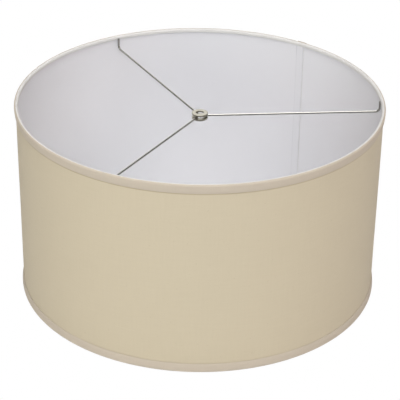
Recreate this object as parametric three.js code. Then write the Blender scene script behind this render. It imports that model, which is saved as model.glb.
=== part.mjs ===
// A drum lamp shade on a three-armed washer fitter. Millimetres, +Z up. The origin is the centre
// of the circle that the bottom rim stands on, and angles are degrees from +X towards +Y.
import * as THREE from 'three';

// Overall
const shadeDiameter = 508;
const shadeHeight = 279.4;
const gap = 0.3; // clearance between touching pieces
const facets = 72; // flats round the drum

// Wire frame
const ringWire = 3.2;
const armWire = 3;
const armBend = 5.5; // radius of a wire's centre line where it turns up
const fitterDrop = 26; // from the top rim down to the arms' centre lines at the hub
const armRise = 6.2; // of an arm from the hub to its bend
const armLevel = 2; // length of an arm that stays level beyond the hub
const armAngles = { right: 1.6, back: 119.8, front: 241.6 };

// Hub: two washers with the arms' inner ends between them
const hubDiameter = 22.2;
const hubHole = 11.1; // clears the harp's threaded stud
const washerThickness = 2.5;
const washerChamfer = 0.4;
const armSetback = 1; // from the hole's wall to the arms' inner ends

// Wall: a plastic liner with linen laminated to it, rolled into a drum and lapped
const linerThickness = 0.6;
const coverThickness = 0.5;
const seamAngle = 53.5; // middle of the lap
const lapWidth = 12;
const lapRun = 40; // length over which the wall eases out from behind its own lap
const seamTapeThickness = 0.2;
const seamTapeClearance = 0.15;
const seamTapeInset = 6; // from the wall's top and bottom edges

// Rims: a linen band outside and a white binding over the wire
const tapeThickness = 0.6;
const trimHeight = 12.7;
const trimCrease = 7.5; // height at which the band comes off the wire and lies on the wall
const trimEndAngle = -45; // where the band stops under the wire, from straight out
const trimLeaveAngle = 20; // where the band leaves the wire for the wall
const bindingEndAngle = -198; // where the binding tucks in behind the wire

// Sizes that follow from these
const beadRadius = ringWire / 2 + gap + tapeThickness;
const ringRadius = shadeDiameter / 2 - beadRadius;
const wallEdge = beadRadius + ringWire / 2 + gap; // height of the wall's bottom edge
const wallHeight = shadeHeight - 2 * wallEdge;
const coverOuter = ringRadius + (coverThickness + gap + linerThickness) / 2;
const linerOuter = coverOuter - coverThickness - gap;
const linerInner = linerOuter - linerThickness;
const lapSpace = seamTapeThickness + 2 * seamTapeClearance;
const lapStep = linerThickness + lapSpace;
const degreesPerLength = 180 / Math.PI / linerOuter;
const lapStart = seamAngle - lapWidth / 2 * degreesPerLength;
const lapEnd = seamAngle + lapWidth / 2 * degreesPerLength;
const armHeight = shadeHeight - fitterDrop;
const flatInset = Math.cos(Math.PI / facets); // a flat's middle lies this much nearer the axis
const bandInner = (coverOuter + gap) / flatInset;
const armOuter = linerInner * flatInset - gap - armWire / 2;

const group = new THREE.Group();

// Adds a piece with its own finish
function addPiece(name, geometry, colour, roughness, metalness) {
  const material = new THREE.MeshStandardMaterial({ color: colour, roughness, metalness });
  const mesh = new THREE.Mesh(geometry, material);
  mesh.name = name;
  group.add(mesh);
  return mesh;
}

// A closed outline of [radius, height] points, anticlockwise, turned about the Z axis
function turned(outline, segments) {
  const points = [...outline, outline[0]].map(([radius, height]) => new THREE.Vector2(radius, height));
  return new THREE.LatheGeometry(points, segments).rotateX(Math.PI / 2);
}

function pointAt(radius, angle) {
  const turn = THREE.MathUtils.degToRad(angle);
  return new THREE.Vector2(radius * Math.cos(turn), radius * Math.sin(turn));
}

// Angles from one to another, with every corner of the drum and of the lap between them
function cornersBetween(from, to) {
  const step = 360 / facets;
  const corners = [];
  for (let angle = 0; angle < 720; angle += step) corners.push(angle);
  for (const turn of [0, 360]) corners.push(lapStart + turn, lapEnd + turn);
  const inside = corners.filter((angle) => angle > from && angle < to);
  return [from, ...inside.sort((a, b) => a - b), to];
}

// How far in the wall still is at an angle, counted on past a full turn
function wallEase(angle) {
  return lapStep * (1 - THREE.MathUtils.smoothstep(angle, lapEnd, lapEnd + lapRun * degreesPerLength));
}

// A sheet rolled round the drum between two angles and stood on end
function rolledSheet(outerRadius, thickness, from, to, bottom, height) {
  const corners = cornersBetween(from, to);
  const outside = corners.map((angle) => pointAt(outerRadius - wallEase(angle), angle));
  const inside = corners.map((angle) => pointAt(outerRadius - wallEase(angle) - thickness, angle));
  const shape = new THREE.Shape([...outside, ...inside.reverse()]);
  const geometry = new THREE.ExtrudeGeometry(shape, { depth: height, bevelEnabled: false });
  return geometry.translate(0, 0, bottom);
}

function addWall() {
  const liner = rolledSheet(linerOuter, linerThickness, lapStart, lapEnd + 360, wallEdge, wallHeight);
  addPiece('liner_panel', liner, 0xf2f2f4, 0.5, 0);

  const buttGap = gap * degreesPerLength;
  const cover = rolledSheet(
    coverOuter, coverThickness, lapEnd + buttGap, lapEnd + 360, wallEdge, wallHeight,
  );
  addPiece('linen_cover', cover, 0xd6cbb0, 0.95, 0);

  const tape = rolledSheet(
    linerInner - seamTapeClearance, seamTapeThickness, lapStart + 360, lapEnd + 360,
    wallEdge + seamTapeInset, wallHeight - 2 * seamTapeInset,
  );
  addPiece('seam_tape', tape, 0xe8e4d8, 0.4, 0);
}

function addRing(name, height) {
  const ring = new THREE.TorusGeometry(ringRadius, ringWire / 2, 8, facets);
  addPiece(name, ring, 0xb9babc, 0.35, 1).position.z = height;
}

// Points on an arc about the bottom ring's wire, from straight out towards the drum's inside
function wireArc(radius, from, to, steps) {
  const points = [];
  for (let i = 0; i <= steps; i += 1) {
    const offset = pointAt(radius, from + (to - from) * i / steps);
    points.push([ringRadius + offset.x, beadRadius + offset.y]);
  }
  return points;
}

// The linen band's section at the bottom rim: round the wire's outside, then up the wall
function trimOutline() {
  const bandOuter = bandInner + tapeThickness;
  return [
    ...wireArc(beadRadius, trimEndAngle, trimLeaveAngle, 3),
    [bandOuter, trimCrease],
    [bandOuter, trimHeight],
    [bandInner, trimHeight],
    [bandInner, trimCrease],
    ...wireArc(beadRadius - tapeThickness, trimLeaveAngle, trimEndAngle, 3),
  ];
}

// The binding's section at the bottom rim: under the wire and up behind it
function bindingOutline() {
  const innerRadius = beadRadius - tapeThickness;
  const start = trimEndAngle - THREE.MathUtils.radToDeg(gap / innerRadius);
  return [
    ...wireArc(beadRadius, bindingEndAngle, start, 4),
    ...wireArc(innerRadius, start, bindingEndAngle, 4),
  ];
}

// A bottom rim's section, turned over for the top one
function overturned(outline) {
  return outline.map(([radius, height]) => [radius, shadeHeight - height]).reverse();
}

function addRims() {
  addRing('top_ring', shadeHeight - beadRadius);
  addRing('bottom_ring', beadRadius);
  addPiece('top_trim_band', turned(overturned(trimOutline()), facets), 0xd3c9b4, 0.95, 0);
  addPiece('bottom_trim_band', turned(trimOutline(), facets), 0xd3c9b4, 0.95, 0);
  addPiece('top_rim_binding', turned(overturned(bindingOutline()), facets), 0xf4f3f1, 0.85, 0);
  addPiece('bottom_rim_binding', turned(bindingOutline(), facets), 0xf4f3f1, 0.85, 0);
}

// A wire's centre line, with one step from each of its points to the next
class WireLine extends THREE.Curve {
  constructor(points) {
    super();
    this.points = points;
  }

  getUtoTmapping(share) {
    return share;
  }

  getPoint(share, target = new THREE.Vector3()) {
    const place = share * (this.points.length - 1);
    const index = Math.min(Math.floor(place), this.points.length - 2);
    return target.lerpVectors(this.points[index], this.points[index + 1], place - index);
  }
}

// Height of an arm's upper end, where its outer edge meets the underside of the top ring
function armTop() {
  const reach = ringWire / 2 + gap;
  const offset = ringRadius - armOuter - armWire / 2;
  return shadeHeight - beadRadius - Math.sqrt(reach ** 2 - offset ** 2);
}

// An arm along +X: out from the hub, rising a little, then round the bend and up to the ring
function armGeometry() {
  const line = [
    new THREE.Vector3(hubHole / 2 + armSetback, 0, armHeight),
    new THREE.Vector3(hubDiameter / 2 + armLevel, 0, armHeight),
  ];
  const bendHeight = armHeight + armRise + armBend;
  const bendSteps = 8;
  for (let i = 0; i <= bendSteps; i += 1) {
    const turn = pointAt(armBend, -90 + 90 * i / bendSteps);
    line.push(new THREE.Vector3(armOuter - armBend + turn.x, 0, bendHeight + turn.y));
  }
  line.push(new THREE.Vector3(armOuter, 0, armTop()));

  const sides = 10;
  const section = [];
  for (let i = 0; i < sides; i += 1) section.push(pointAt(armWire / 2, 360 * i / sides));
  const path = new WireLine(line);
  const settings = { steps: line.length - 1, extrudePath: path, bevelEnabled: false };
  return new THREE.ExtrudeGeometry(new THREE.Shape(section), settings);
}

function addArms() {
  for (const [side, angle] of Object.entries(armAngles)) {
    const arm = addPiece(`spider_arm_${side}`, armGeometry(), 0xc4c5c4, 0.25, 1);
    arm.rotation.z = THREE.MathUtils.degToRad(angle);
  }
}

function addWasher(name, bottom) {
  const inner = hubHole / 2;
  const outer = hubDiameter / 2;
  const outline = [
    [inner + washerChamfer, 0],
    [outer - washerChamfer, 0],
    [outer, washerChamfer],
    [outer, washerThickness - washerChamfer],
    [outer - washerChamfer, washerThickness],
    [inner + washerChamfer, washerThickness],
    [inner, washerThickness - washerChamfer],
    [inner, washerChamfer],
  ];
  addPiece(name, turned(outline, 32), 0xb5b0a6, 0.3, 1).position.z = bottom;
}

addWall();
addRims();
addArms();
addWasher('hub_upper_washer', armHeight + armWire / 2 + gap);
addWasher('hub_lower_washer', armHeight - armWire / 2 - gap - washerThickness);

export default group;
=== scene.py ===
import math

import bmesh
import bpy
from mathutils import Matrix, Vector, noise


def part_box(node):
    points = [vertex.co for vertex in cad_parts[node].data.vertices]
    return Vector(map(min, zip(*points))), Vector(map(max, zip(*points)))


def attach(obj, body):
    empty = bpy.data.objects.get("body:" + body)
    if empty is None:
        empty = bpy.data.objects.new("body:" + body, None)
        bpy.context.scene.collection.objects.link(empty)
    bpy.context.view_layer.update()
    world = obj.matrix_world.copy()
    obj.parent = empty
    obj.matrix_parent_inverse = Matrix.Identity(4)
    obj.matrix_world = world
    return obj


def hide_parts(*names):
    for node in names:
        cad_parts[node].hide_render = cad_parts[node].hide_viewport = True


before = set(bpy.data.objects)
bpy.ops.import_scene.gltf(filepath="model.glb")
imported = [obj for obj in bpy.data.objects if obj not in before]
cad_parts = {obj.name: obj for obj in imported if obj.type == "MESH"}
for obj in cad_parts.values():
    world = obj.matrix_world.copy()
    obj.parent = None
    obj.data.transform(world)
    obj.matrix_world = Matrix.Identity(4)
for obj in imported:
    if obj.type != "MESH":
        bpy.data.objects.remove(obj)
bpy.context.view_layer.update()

# Sizes of the frame, in metres
ringLow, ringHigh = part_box("top_ring")
wireRadius = (ringHigh.z - ringLow.z) / 2
ringRadius = ringHigh.x - wireRadius
topRingHeight = ringHigh.z - wireRadius
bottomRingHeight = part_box("bottom_ring")[0].z + wireRadius
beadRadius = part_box("top_rim_binding")[1].z - topRingHeight
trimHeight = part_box("bottom_trim_band")[1].z
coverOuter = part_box("linen_cover")[1].x
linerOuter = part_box("liner_panel")[1].x
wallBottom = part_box("liner_panel")[0].z
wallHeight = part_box("liner_panel")[1].z - wallBottom

root = "root"


def smoothStep(value, low, high):
    share = min(max((value - low) / (high - low), 0), 1)
    return share * share * (3 - 2 * share)


def polar(radius, angle, height):
    return Vector((radius * math.cos(angle), radius * math.sin(angle), height))


# Camera

cameraSettings = {
    "place": (0, -1.86127, 1.14186),
    "down": 0.50229,  # radians below level
    "aside": 0.00108,  # towards +X
    "roll": 0.0148,
    "lens": 133.95,
}


def makeCamera(settings):
    data = bpy.data.cameras.new("camera")
    data.sensor_width = 36
    data.lens = settings["lens"]
    data.clip_start = 0.05
    camera = bpy.data.objects.new("camera", data)
    bpy.context.scene.collection.objects.link(camera)
    level = math.cos(settings["down"])
    ahead = Vector((
        math.sin(settings["aside"]) * level,
        math.cos(settings["aside"]) * level,
        -math.sin(settings["down"]),
    ))
    turned = ahead.to_track_quat("-Z", "Y").to_matrix().to_4x4()
    rolled = turned @ Matrix.Rotation(settings["roll"], 4, "Z")
    camera.matrix_world = Matrix.Translation(settings["place"]) @ rolled
    bpy.context.scene.camera = camera


makeCamera(cameraSettings)
print("camera made")


# Shader tools

# A number in a shader. Sums on it add Math nodes.
class Number:
    def __init__(self, finish, socket):
        self.finish = finish
        self.socket = socket

    def maths(self, operation, *values):
        return self.finish.number("ShaderNodeMath", {"operation": operation}, dict(enumerate(values)))

    def __add__(self, other):
        return self.maths("ADD", self, other)

    __radd__ = __add__

    def __sub__(self, other):
        return self.maths("SUBTRACT", self, other)

    def __rsub__(self, other):
        return self.maths("SUBTRACT", other, self)

    def __mul__(self, other):
        return self.maths("MULTIPLY", self, other)

    __rmul__ = __mul__

    def __truediv__(self, other):
        return self.maths("DIVIDE", self, other)

    def __pow__(self, other):
        return self.maths("POWER", self, other)

    def __gt__(self, other):
        return self.maths("GREATER_THAN", self, other)

    def sine(self):
        return self.maths("SINE", self)

    def size(self):
        return self.maths("ABSOLUTE", self)


# A material and the ways to fill it
class Finish:
    def __init__(self, name, **values):
        self.material = bpy.data.materials.new(name)
        self.material.use_nodes = True
        self.tree = self.material.node_tree
        self.shader = self.tree.nodes["Principled BSDF"]
        for socket, value in values.items():
            self.shader.inputs[socket].default_value = value

    # Any node: its settings first, then the values or links of its sockets
    def node(self, kind, settings=None, sockets=None):
        made = self.tree.nodes.new(kind)
        for key, value in (settings or {}).items():
            setattr(made, key, value)
        for key, value in (sockets or {}).items():
            self.join(value, made.inputs[key])
        return made

    def number(self, kind, settings=None, sockets=None):
        return Number(self, self.node(kind, settings, sockets).outputs[0])

    def join(self, value, socket):
        if isinstance(value, Number):
            self.tree.links.new(value.socket, socket)
        elif isinstance(value, bpy.types.NodeSocket):
            self.tree.links.new(value, socket)
        else:
            socket.default_value = value

    def feed(self, name, value):
        self.join(value, self.shader.inputs[name])

    def vector(self, x, y, z=0):
        return self.node("ShaderNodeCombineXYZ", sockets={"X": x, "Y": y, "Z": z}).outputs["Vector"]

    def clothPlace(self):
        place = self.node("ShaderNodeUVMap", {"uv_map": "cloth"}).outputs["UV"]
        split = self.node("ShaderNodeSeparateXYZ", sockets={"Vector": place})
        return Number(self, split.outputs["X"]), Number(self, split.outputs["Y"])

    def grain(self, place, scale, detail=2, roughness=0.5):
        sockets = {"Vector": place, "Scale": scale, "Detail": detail, "Roughness": roughness}
        return self.number("ShaderNodeTexNoise", sockets=sockets)

    # 1 on a line where a value is at, down to 0 at the given distance from it
    def ridge(self, value, at, reach):
        sockets = {0: (value - at).size(), 1: 0, 2: reach, 3: 1, 4: 0}
        return self.number("ShaderNodeMapRange", None, sockets)

    def blend(self, share, first, second):
        settings = {"data_type": "RGBA", "blend_type": "MIX"}
        mixed = self.node("ShaderNodeMix", settings, {0: share, 6: first, 7: second})
        return mixed.outputs[2]

    def bump(self, height, distance):
        sockets = {"Height": height, "Distance": distance, "Strength": 1}
        return self.node("ShaderNodeBump", sockets=sockets).outputs["Normal"]


def colour(red, green, blue):
    return (red, green, blue, 1)


# Materials

linenSettings = {
    "pitch": 0.00058,  # from thread to thread
    "light": colour(0.593, 0.523, 0.392),
    "dark": colour(0.531, 0.461, 0.336),
    "fleck": colour(0.443, 0.372, 0.257),
    "slub": 0.045,  # length of a thick stretch of thread
    "slubWidth": 4,  # threads
    "wander": 9,  # threads over which the lines of the weave drift
    "cloudScale": 14,
    "cloudShare": 0.16,
    "fleckSize": 6,  # threads
    "fleckShare": 0.35,
    "paintedShadowShare": 0.9,  # of the darker colour, in the painted shadow line under the top band
    "paintedShadowLine": (0.0013, 0.0022),  # below the band, where that painted shadow line starts and ends fading
    "relief": 0.00009,
}

trimSettings = {
    **linenSettings,
    "pitch": 0.00052,
    "light": colour(0.558, 0.491, 0.403),
    "dark": colour(0.5, 0.434, 0.35),
}

bindingSettings = {
    **linenSettings,
    "pitch": 0.00045,
    "light": colour(0.743, 0.73, 0.708),
    "dark": colour(0.681, 0.668, 0.65),
    "fleck": colour(0.602, 0.589, 0.566),
    "relief": 0.00006,
}


# Plain-woven cloth: threads over and under, with slubs along each and a few darker flecks, and where
# asked a painted shadow line under the top band's lower edge
def wovenFinish(name, settings):
    finish = Finish(name, **{"Roughness": 0.9, "Specular IOR Level": 0.15, "Sheen Weight": 0.12})
    along, across = finish.clothPlace()
    pitch = settings["pitch"]
    wander = finish.grain(finish.vector(along, across), 1 / (pitch * settings["wander"]), 1) - 0.5
    warp = along / pitch + wander * 0.5
    weft = across / pitch + wander * 0.5
    crossing = (warp * math.pi).sine() * (weft * math.pi).sine()
    threads = crossing.size() ** 0.6
    slubLength = settings["slub"]
    slubWidth = pitch * settings["slubWidth"]
    warpSlub = finish.grain(finish.vector(along / slubWidth, across / slubLength), 1, 2)
    weftSlub = finish.grain(finish.vector(along / slubLength, across / slubWidth), 1, 2)
    overWarp = crossing > 0
    slub = warpSlub * overWarp + weftSlub * (1 - overWarp)
    shade = slub * 0.75 + threads * 0.25
    base = finish.blend(shade, settings["dark"], settings["light"])
    cloud = finish.grain(finish.vector(along, across), settings["cloudScale"], 3, 0.6)
    base = finish.blend(cloud * settings["cloudShare"], base, settings["dark"])
    fleckSize = pitch * settings["fleckSize"]
    speck = finish.grain(finish.vector(along / fleckSize, across / fleckSize), 1, 1)
    sparse = {0: speck, 1: 0.7, 2: 0.78, 3: 0, 4: settings["fleckShare"]}
    fleck = finish.number("ShaderNodeMapRange", None, sparse)
    base = finish.blend(fleck, base, settings["fleck"])
    # Painted shadow: a dark line on the wall cloth just below the top band's lower edge, where the
    # proud band shades the wall
    if "paintedShadowAt" in settings:
        below = settings["paintedShadowAt"] - across
        fadeStart, fadeEnd = settings["paintedShadowLine"]
        fade = {0: below, 1: fadeStart, 2: fadeEnd, 3: settings["paintedShadowShare"], 4: 0}
        line = (below > 0) * finish.number("ShaderNodeMapRange", None, fade)
        base = finish.blend(line, base, settings["fleck"])
    finish.feed("Base Color", base)
    finish.feed("Roughness", 0.84 + slub * 0.14)
    height = threads * 0.7 + slub * 0.6
    finish.feed("Normal", finish.bump(height, settings["relief"]))
    return finish.material


linerSettings = {
    "light": colour(0.782, 0.78, 0.803),
    "dark": colour(0.75, 0.748, 0.772),
    "glue": colour(0.54, 0.54, 0.565),
    "markInset": 0.0008,  # from the sheet's start to the first fine line
    "markWidth": 0.0011,  # half the width of a fine line
    "marksGrow": (0.022, 0.012),  # below the wall's top, where the lines start and end growing stronger
    "cloudScale": 9,
    "grainScale": (1500, 300),  # along the sheet and across it
    "blotchScale": (90, 45),
    "lapShare": 0.14,  # of the glue's colour, over the whole lap
    "relief": 0.00003,
}


# White plastic sheet: a satin face with a fine calendered grain, and the glued lap showing through
def linerFinish(settings, lap):
    finish = Finish("whiteLiner", **{"Roughness": 0.5, "Specular IOR Level": 0.4})
    along, across = finish.clothPlace()
    place = finish.vector(along, across)
    cloud = finish.grain(place, settings["cloudScale"], 3, 0.55)
    long, wide = settings["grainScale"]
    grain = finish.grain(finish.vector(along * long, across * wide), 1, 2)
    mixed = finish.blend(cloud * 0.7 + grain * 0.3, settings["dark"], settings["light"])
    long, wide = settings["blotchScale"]
    blotch = finish.grain(finish.vector(along * long, across * wide), 1, 2)
    width = settings["markWidth"]
    edges = finish.ridge(along, settings["markInset"], width) + finish.ridge(along, lap, width)
    growStart, growEnd = settings["marksGrow"]
    grow = {0: across, 1: wallHeight - growStart, 2: wallHeight - growEnd}
    nearTop = finish.number("ShaderNodeMapRange", None, grow)
    inLap = lap - along > 0
    glue = edges * (0.2 + nearTop * 0.35) * (0.5 + blotch) + inLap * blotch * settings["lapShare"]
    finish.feed("Base Color", finish.blend(glue, mixed, settings["glue"]))
    finish.feed("Roughness", 0.44 + cloud * 0.08 + grain * 0.08)
    finish.feed("Normal", finish.bump(grain, settings["relief"]))
    return finish.material


nickelSettings = {
    "clean": colour(0.47, 0.465, 0.43),
    "dull": colour(0.33, 0.32, 0.28),
    "roughness": 0.07,
    "drawn": (25, 3000),  # scale of the fine lines, along the wire and across it
    "spots": 900,
    "relief": 0.00002,
}

washerFinishSettings = {
    **nickelSettings,
    "clean": colour(0.43, 0.41, 0.345),
    "dull": colour(0.28, 0.265, 0.19),
    "roughness": 0.3,
}


# Bright nickel plate over drawn wire: fine lines along the wire and small dull spots
def nickelFinish(name, settings):
    finish = Finish(name, **{"Metallic": 1})
    place = finish.node("ShaderNodeAttribute", {"attribute_name": "piecePlace"}).outputs["Vector"]
    split = finish.node("ShaderNodeSeparateXYZ", sockets={"Vector": place})
    length, side, height = (Number(finish, split.outputs[axis]) for axis in "XYZ")
    coarse, fine = settings["drawn"]
    drawn = finish.grain(finish.vector(length * coarse, side * fine, height * fine), 1, 2)
    spots = finish.grain(place, settings["spots"], 3, 0.6)
    dull = finish.number("ShaderNodeMapRange", None, {0: spots, 1: 0.55, 2: 0.8, 3: 0, 4: 0.6})
    finish.feed("Base Color", finish.blend(dull, settings["clean"], settings["dull"]))
    finish.feed("Roughness", settings["roughness"] + drawn * 0.12 + dull * 0.2)
    finish.feed("Normal", finish.bump(drawn * 0.6 + spots * 0.4, settings["relief"]))
    return finish.material


ringFinishSettings = {
    "dark": colour(0.7, 0.7, 0.69),
    "light": colour(0.84, 0.84, 0.83),
    "spots": 400,
    "relief": 0.00003,
}


# White-coated ring wire
def ringFinish(settings):
    finish = Finish("ringWire", **{"Specular IOR Level": 0.5})
    place = finish.node("ShaderNodeTexCoord").outputs["Object"]
    spots = finish.grain(place, settings["spots"], 3, 0.6)
    finish.feed("Base Color", finish.blend(spots, settings["dark"], settings["light"]))
    finish.feed("Roughness", 0.35 + spots * 0.2)
    finish.feed("Normal", finish.bump(spots, settings["relief"]))
    return finish.material


adhesiveSettings = {
    "dark": colour(0.7, 0.66, 0.54),
    "light": colour(0.8, 0.78, 0.7),
    "bubbles": 160,
    "relief": 0.00004,
}


# Double-sided tape in the lap
def adhesiveFinish(settings):
    finish = Finish("adhesiveTape", **{"Specular IOR Level": 0.5})
    place = finish.node("ShaderNodeTexCoord").outputs["Object"]
    bubbles = finish.grain(place, settings["bubbles"], 3, 0.6)
    finish.feed("Base Color", finish.blend(bubbles, settings["dark"], settings["light"]))
    finish.feed("Roughness", 0.3 + bubbles * 0.25)
    finish.feed("Normal", finish.bump(bubbles, settings["relief"]))
    return finish.material


trimEdge = topRingHeight + beadRadius - trimHeight - wallBottom
# The wall cloth gets a painted shadow line just under the top band's lower edge
linenFinish = wovenFinish("beigeLinen", {**linenSettings, "paintedShadowAt": trimEdge})
trimFinish = wovenFinish("linenTrim", trimSettings)
bindingFinish = wovenFinish("whiteBinding", bindingSettings)
print("materials made")


# Pieces

smoothAngle = 40  # degrees between faces, past which an edge is drawn sharp
cornerAngle = 1  # radians between faces, past which an edge is rounded off
mergeDistance = 0.00001


def makePiece(name, bm, material):
    mesh = bpy.data.meshes.new(name)
    bm.to_mesh(mesh)
    bm.free()
    mesh.materials.append(material)
    mesh.shade_smooth()
    mesh.set_sharp_from_angle(angle=math.radians(smoothAngle))
    piece = bpy.data.objects.new(name, mesh)
    bpy.context.scene.collection.objects.link(piece)
    return piece


def settle(piece, node):
    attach(piece, root)
    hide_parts(node)
    return piece


# A flat strip with its flat size as its UV map, bent to shape by place(column, row), then given its
# thickness inwards from that surface
def bentStrip(name, alongStops, acrossStops, place, thickness, material, turnOver=False):
    bm = bmesh.new()
    columns, rows = len(alongStops) - 1, len(acrossStops) - 1
    bmesh.ops.create_grid(bm, x_segments=columns, y_segments=rows, size=0.5)
    cloth = bm.loops.layers.uv.new("cloth")
    cells = {}
    for vert in bm.verts:
        cells[vert] = (round((vert.co.x + 0.5) * columns), round((vert.co.y + 0.5) * rows))
    for face in bm.faces:
        for loop in face.loops:
            column, row = cells[loop.vert]
            loop[cloth].uv = (alongStops[column], acrossStops[row])
    for vert, (column, row) in cells.items():
        vert.co = place(column, row)
    if turnOver:
        bmesh.ops.reverse_faces(bm, faces=bm.faces[:])
    bm.normal_update()
    bmesh.ops.solidify(bm, geom=bm.verts[:] + bm.edges[:] + bm.faces[:], thickness=thickness)
    return makePiece(name, bm, material)


def evenStops(start, end, count):
    return [start + (end - start) * i / count for i in range(count + 1)]


# The spider's arms. The binding is cut back round them.
armSettings = {
    "angles": {"right": 1.6, "back": 119.8, "front": 241.6},
    "radius": 0.0015,
    "setback": 0.001,  # from the hole's wall to the wire's inner end
    "outer": 0.24876,  # from the drum's axis to the upright end's middle
    "level": 0.002,  # length that stays level beyond the hub
    "rise": 0.0062,  # from the hub to the bend
    "bend": 0.0055,  # radius of the bend's middle line
    "bendSteps": 14,
    "sides": 20,
    "round": 0.00035,
}


# The wall: a liner sheet and a linen one, rolled together and lapped

wallSettings = {
    "seam": math.radians(53.5),
    "lap": 0.012,
    "run": 0.04,  # length over which the wall eases out from behind its own lap
    "step": 0.0011,  # how far it eases out
    "linerThickness": 0.0006,
    "coverThickness": 0.0005,
    "fold": 0.0011,  # cloth turned in over the lap's outer end
    "foldColumns": 4,
    "butt": 0.0003,  # between the cloth's two ends
    "wave": 0.00015,
    "waveLength": 0.07,
    "columns": 480,
    "rows": 24,
}

lapStart = wallSettings["seam"] - wallSettings["lap"] / 2 / linerOuter
lapEnd = wallSettings["seam"] + wallSettings["lap"] / 2 / linerOuter


def wallRadius(outer, angle, height, settings):
    share = min(max(1 - (angle - lapEnd) * linerOuter / settings["run"], 0), 1)
    place = polar(linerOuter, angle, height) / settings["waveLength"]
    return outer - settings["step"] * share * share + settings["wave"] * noise.noise(place)


def makeLiner(settings):
    along = evenStops(0, 2 * math.pi * linerOuter + settings["lap"], settings["columns"])
    across = evenStops(0, wallHeight, settings["rows"])

    def place(column, row):
        angle = lapStart + along[column] / linerOuter
        height = wallBottom + across[row]
        return polar(wallRadius(linerOuter, angle, height, settings), angle, height)

    finish = linerFinish(linerSettings, settings["lap"])
    piece = bentStrip("whiteLiner", along, across, place, settings["linerThickness"], finish)
    return settle(piece, "liner_panel")


def makeCover(settings):
    fold = settings["fold"]
    length = 2 * math.pi * linerOuter - settings["butt"]
    along = evenStops(0, length, settings["columns"])
    along += evenStops(length, length + fold, settings["foldColumns"])[1:]
    across = evenStops(0, wallHeight, settings["rows"])

    # The cloth's last stretch is turned in over the lap's outer end
    def place(column, row):
        height = wallBottom + across[row]
        turnedIn = max(along[column] - length, 0)
        angle = lapEnd + (settings["butt"] + along[column] - turnedIn) / linerOuter
        radius = wallRadius(coverOuter, angle, height, settings) - turnedIn
        return polar(radius, angle, height)

    piece = bentStrip("linenCover", along, across, place, settings["coverThickness"], linenFinish)
    return settle(piece, "linen_cover")


makeLiner(wallSettings)
makeCover(wallSettings)
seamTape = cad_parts["seam_tape"]
seamTape.data.materials.clear()
seamTape.data.materials.append(adhesiveFinish(adhesiveSettings))
print("wall made")


# The rims: wire rings, each with a linen band outside it and a white binding over its crown

rimSettings = {
    "thickness": 0.00035,
    "slack": 0.00005,  # between layers that touch
    "trimEnd": 58,  # where the band's upper fold lies on the wire, in degrees from straight out
    "hem": 0.003,  # turned in behind each of the band's edges
    "bindingEnd": 61,  # where the binding meets the band
    "bindingDrop": 0.0026,  # from the wire's middle to the binding's edge on the lining's side
    "notch": 0.004,  # half the width over which the binding is cut back round an arm
    "cutBack": 0.7,  # share of its drop that the binding loses there
    "lap": 0.012,  # of the band's end over its start
    "lapEase": 0.005,  # length over which the end rises onto the start
    "butt": 0.0003,  # between the binding's ends
    "ripple": 0.00006,
    "rippleLength": 0.012,
    "columns": 600,
}


def arcPoints(centre, radius, start, end, steps):
    angles = evenStops(math.radians(start), math.radians(end), steps)
    return [centre + Vector((radius * math.cos(angle), radius * math.sin(angle))) for angle in angles]


# The lengths along a line up to each of its points
def stopsAlong(points):
    stops = [0]
    for first, second in zip(points, points[1:]):
        stops.append(stops[-1] + (second - first).length)
    return stops


# The direction square to a line at each of its points, on its left
def sideOf(points):
    sides = []
    for before, after in zip([points[0], *points[:-1]], [*points[1:], points[-1]]):
        direction = (after - before).normalized()
        sides.append(Vector((-direction.y, direction.x)))
    return sides


# The band's section, from the wire's middle: both its edges are turned in, and it runs from its fold
# beside the binding round the wire's outside and down the wall
def trimLine(settings):
    thickness, slack = settings["thickness"], settings["slack"]
    middle = Vector((0, 0))
    under = beadRadius - thickness / 2
    over = under + thickness + slack
    inner = coverOuter - ringRadius + slack + thickness / 2
    outer = inner + thickness + slack
    turn = (thickness + slack) / 2
    low = beadRadius - trimHeight + turn
    end = settings["trimEnd"]
    hidden = arcPoints(middle, under, end - math.degrees(settings["hem"] / under), end, 4)
    top = arcPoints(middle, under + turn, end, end, 1)[0]
    upperFold = arcPoints(top, turn, end + 180, end, 6)[1:]
    around = arcPoints(middle, over, end, 0, 6)[1:]
    down = [Vector((over + (outer - over) * share**2, low * share)) for share in evenStops(0.1, 0.9, 8)]
    lowerFold = arcPoints(Vector((inner + turn, low)), turn, 0, -180, 6)
    up = [Vector((inner, low + settings["hem"] * share)) for share in (0.5, 1)]
    return [*hidden, *upperFold, *around, *down, *lowerFold, *up]


# The binding's section: from behind the wire over its crown to the band
def bindingLine(settings):
    wire = beadRadius - settings["thickness"] / 2
    down = [Vector((-wire, -settings["bindingDrop"] * share)) for share in (1, 0.75, 0.5, 0.25)]
    return [*down, *arcPoints(Vector((0, 0)), wire, 180, settings["bindingEnd"], 14)]


# How near an angle is to a spider arm, from 0 to 1
def nearArm(angle, settings):
    degrees = armSettings["angles"].values()
    gaps = [abs(math.remainder(angle - math.radians(arm), 2 * math.pi)) for arm in degrees]
    return 1 - smoothStep(min(gaps) * ringRadius, settings["notch"] / 2, settings["notch"])


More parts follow.
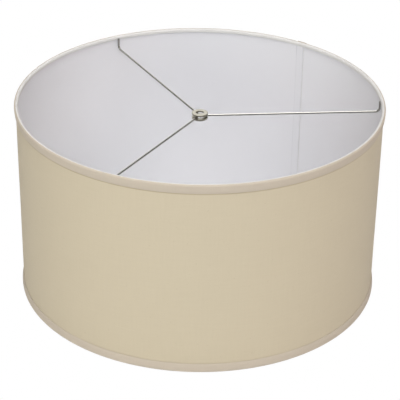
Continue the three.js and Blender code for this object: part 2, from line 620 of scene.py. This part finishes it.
def makeTape(name, line, upwards, lap, settings, material):
    reach = ringRadius + beadRadius
    thickness = settings["thickness"]
    along = evenStops(0, 2 * math.pi * reach + lap, settings["columns"])
    across = stopsAlong(line)
    sides = sideOf(line)
    start = wallSettings["seam"] - lap / 2 / reach
    ringHeight = topRingHeight if upwards else bottomRingHeight
    turn = 1 if upwards else -1
    lapFrom = along[-1] - lap
    stack = 2 * (thickness + settings["slack"]) if lap > 0 else 0

    def place(column, row):
        angle = start + along[column] / reach
        point = line[row]
        away = Vector((point.x, max(point.y, 0))).normalized()
        lift = stack * smoothStep(along[column], lapFrom - settings["lapEase"], lapFrom)
        spot = Vector((along[column], point.y, turn)) / settings["rippleLength"]
        ripple = settings["ripple"] * noise.noise(spot)
        if lap < 0 and upwards and point.y < 0:
            point = Vector((point.x, point.y * (1 - settings["cutBack"] * nearArm(angle, settings))))
        point = point + sides[row] * thickness / 2 + away * (lift + ripple)
        return polar(ringRadius + point.x, angle, ringHeight + turn * point.y)

    piece = bentStrip(name, along, across, place, thickness, material, upwards)
    return piece, across[-1], along[-1]


def makeRims(settings):
    for side, upwards in (("top", True), ("bottom", False)):
        line, lap = trimLine(settings), settings["lap"]
        band, width, length = makeTape(f"{side}Trim", line, upwards, lap, settings, trimFinish)
        line, lap = bindingLine(settings), -settings["butt"]
        binding, _, _ = makeTape(f"{side}Binding", line, upwards, lap, settings, bindingFinish)
        settle(band, f"{side}_trim_band")
        settle(binding, f"{side}_rim_binding")


ringSettings = {"sides": 16, "steps": 288}


def makeRing(side, height, settings, material):
    bm = bmesh.new()
    stand = Matrix.Translation((ringRadius, 0, height)) @ Matrix.Rotation(math.pi / 2, 4, "X")
    bmesh.ops.create_circle(bm, segments=settings["sides"], radius=wireRadius, matrix=stand)
    bmesh.ops.spin(
        bm, geom=bm.verts[:] + bm.edges[:], cent=(0, 0, 0), axis=(0, 0, 1),
        angle=2 * math.pi, steps=settings["steps"], use_merge=True,
    )
    bmesh.ops.remove_doubles(bm, verts=bm.verts[:], dist=mergeDistance)
    bmesh.ops.recalc_face_normals(bm, faces=bm.faces[:])
    return settle(makePiece(f"{side}Ring", bm, material), f"{side}_ring")


ringMaterial = ringFinish(ringFinishSettings)
makeRing("top", topRingHeight, ringSettings, ringMaterial)
makeRing("bottom", bottomRingHeight, ringSettings, ringMaterial)
makeRims(rimSettings)
print("rims made")


# The fitter: three bent wires and two washers

washerSettings = {"hole": 0.00555, "round": 0.00045, "steps": 96}

armLow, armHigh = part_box("spider_arm_right")
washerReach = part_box("hub_upper_washer")[1].x
armRadius = armSettings["radius"]
armHeight = armLow.z + armRadius
armInner = washerSettings["hole"] + armSettings["setback"]
armOuter = armSettings["outer"]


def keepPlace(bm):
    layer = bm.verts.layers.float_vector.new("piecePlace")
    for vert in bm.verts:
        vert[layer] = vert.co


def pushFace(bm, face, move):
    made = bmesh.ops.extrude_face_region(bm, geom=[face])["geom"]
    verts = [item for item in made if isinstance(item, bmesh.types.BMVert)]
    bmesh.ops.translate(bm, verts=verts, vec=move)
    return next(item for item in made if isinstance(item, bmesh.types.BMFace))


def makeArm(side, degrees, settings, material):
    bm = bmesh.new()
    bend = settings["bend"]
    stand = Matrix.Translation((armInner, 0, armHeight)) @ Matrix.Rotation(math.pi / 2, 4, "Y")
    bmesh.ops.create_circle(
        bm, segments=settings["sides"], radius=armRadius, cap_ends=True, matrix=stand,
    )
    levelEnd = washerReach + settings["level"]
    bendHeight = armHeight + settings["rise"] + bend
    face = pushFace(bm, bm.faces[:][0], (levelEnd - armInner, 0, 0))
    face = pushFace(bm, face, (armOuter - bend - levelEnd, 0, settings["rise"]))
    turned = bmesh.ops.spin(
        bm, geom=[face, *face.edges, *face.verts], cent=(armOuter - bend, 0, bendHeight),
        axis=(0, -1, 0), angle=math.pi / 2, steps=settings["bendSteps"],
    )
    face = next(item for item in turned["geom_last"] if isinstance(item, bmesh.types.BMFace))
    pushFace(bm, face, (0, 0, armHigh.z - bendHeight))
    bmesh.ops.recalc_face_normals(bm, faces=bm.faces[:])
    ends = [edge for edge in bm.edges if edge.calc_face_angle(0) > cornerAngle]
    bmesh.ops.bevel(
        bm, geom=ends, offset=settings["round"], offset_type="OFFSET", affect="EDGES",
        segments=3, profile=0.5, material=-1,
    )
    keepPlace(bm)
    bmesh.ops.rotate(bm, verts=bm.verts[:], matrix=Matrix.Rotation(math.radians(degrees), 3, "Z"))
    return settle(makePiece(f"{side}Arm", bm, material), f"spider_arm_{side}")


def makeWasher(side, settings, material):
    low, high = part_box(f"hub_{side}_washer")
    bm = bmesh.new()
    corners = [
        bm.verts.new((radius, 0, height))
        for radius, height in (
            (settings["hole"], low.z), (high.x, low.z), (high.x, high.z), (settings["hole"], high.z),
        )
    ]
    for first, second in zip(corners, corners[1:] + corners[:1]):
        bm.edges.new((first, second))
    bmesh.ops.spin(
        bm, geom=bm.verts[:] + bm.edges[:], cent=(0, 0, 0), axis=(0, 0, 1),
        angle=2 * math.pi, steps=settings["steps"], use_merge=True,
    )
    bmesh.ops.remove_doubles(bm, verts=bm.verts[:], dist=mergeDistance)
    bmesh.ops.recalc_face_normals(bm, faces=bm.faces[:])
    rims = [edge for edge in bm.edges if edge.calc_face_angle(0) > cornerAngle]
    bmesh.ops.bevel(
        bm, geom=rims, offset=settings["round"], offset_type="OFFSET", affect="EDGES",
        segments=4, profile=0.5, material=-1,
    )
    keepPlace(bm)
    return settle(makePiece(f"{side}Washer", bm, material), f"hub_{side}_washer")


wireMaterial = nickelFinish("nickelWire", nickelSettings)
washerMaterial = nickelFinish("nickelWasher", washerFinishSettings)
for armSide, armDegrees in armSettings["angles"].items():
    makeArm(armSide, armDegrees, armSettings, wireMaterial)
makeWasher("upper", washerSettings, washerMaterial)
makeWasher("lower", washerSettings, washerMaterial)
print("fitter made")


# Floor, light and surroundings

stageSettings = {
    "floor": 30,  # side of the floor
    "floorHeight": -0.00075,  # just under the lap of the bottom band
    "floorColour": colour(0.86, 0.86, 0.86),
    "surround": 0.03,
}

white = (1, 1, 1)
warm = (1, 0.85, 0.75)

# Each light: its middle, what it points at, its size, its strength and its colour
lightSettings = {
    "over": ((0, 0, 3.2), (0, 0, 0.1), 1.8, 32.9, white),
    "ceiling": ((0, 0, 3.2), (0, 0, 0.1), 3.6, 84, white),
    "frontHigh": ((0, -2.6, 3), (0, 0, 0.15), 4, 116.6, white),
    "backHigh": ((0, 3.8, 2.6), (0, 0, 0.25), 4.6, 72, white),
    "front": ((0, -3.6, 1.4), (0, 0, 0.15), 2.8, 23.5, (0.93, 0.93, 1)),
    "leftLow": ((-2.6, -2.4, 0.6), (0, 0, 0.1), 1, 13.6, (0.9, 1, 0.9)),
    "left": ((-3.4, 0, 1.8), (0, 0, 0.15), 2, 19.7, warm),
    "right": ((3.4, 0, 1.8), (0, 0, 0.15), 2, 29.1, warm),
}
matteOnly = ("front", "frontHigh")  # not mirrored in anything
mirroredOnly = ("ceiling", "backHigh")  # light nothing directly, but are mirrored


def makeFloor(settings):
    bm = bmesh.new()
    bmesh.ops.create_grid(bm, x_segments=1, y_segments=1, size=settings["floor"] / 2)
    finish = Finish("floor", **{"Base Color": settings["floorColour"], "Specular IOR Level": 0})
    glow = finish.node("ShaderNodeEmission", sockets={"Color": colour(1, 1, 1)})
    ray = finish.node("ShaderNodeLightPath")
    sockets = {0: ray.outputs["Is Camera Ray"], 1: finish.shader.outputs[0], 2: glow.outputs[0]}
    mixed = finish.node("ShaderNodeMixShader", sockets=sockets)
    finish.join(mixed.outputs[0], finish.tree.nodes["Material Output"].inputs["Surface"])
    floor = makePiece("floor", bm, finish.material)
    floor.location.z = settings["floorHeight"]


def makeSurround(settings):
    world = bpy.data.worlds.new("surround")
    bpy.context.scene.world = world
    world.use_nodes = True
    nodes, links = world.node_tree.nodes, world.node_tree.links
    sky = nodes["Background"]
    sky.inputs["Strength"].default_value = settings["surround"]
    sky.inputs["Color"].default_value = colour(1, 1, 1)
    seen = nodes.new("ShaderNodeBackground")
    seen.inputs["Color"].default_value = colour(1, 1, 1)
    mix = nodes.new("ShaderNodeMixShader")
    ray = nodes.new("ShaderNodeLightPath")
    links.new(ray.outputs["Is Camera Ray"], mix.inputs[0])
    links.new(sky.outputs[0], mix.inputs[1])
    links.new(seen.outputs[0], mix.inputs[2])
    links.new(mix.outputs[0], nodes["World Output"].inputs["Surface"])


def makeLight(name, place, target, size, power, tint):
    data = bpy.data.lights.new(name, "AREA")
    data.shape = "DISK"
    data.size = size
    data.energy = power
    data.color = tint
    light = bpy.data.objects.new(name, data)
    light.visible_glossy = name not in matteOnly
    light.visible_diffuse = name not in mirroredOnly
    light.visible_transmission = name not in mirroredOnly
    bpy.context.scene.collection.objects.link(light)
    light.location = place
    light.rotation_mode = "QUATERNION"
    light.rotation_quaternion = (Vector(target) - Vector(place)).to_track_quat("-Z", "Y")


makeFloor(stageSettings)
makeSurround(stageSettings)
for lightName, lightValues in lightSettings.items():
    makeLight(lightName, *lightValues)
bpy.context.scene.view_settings.view_transform = "Standard"
print("stage made")
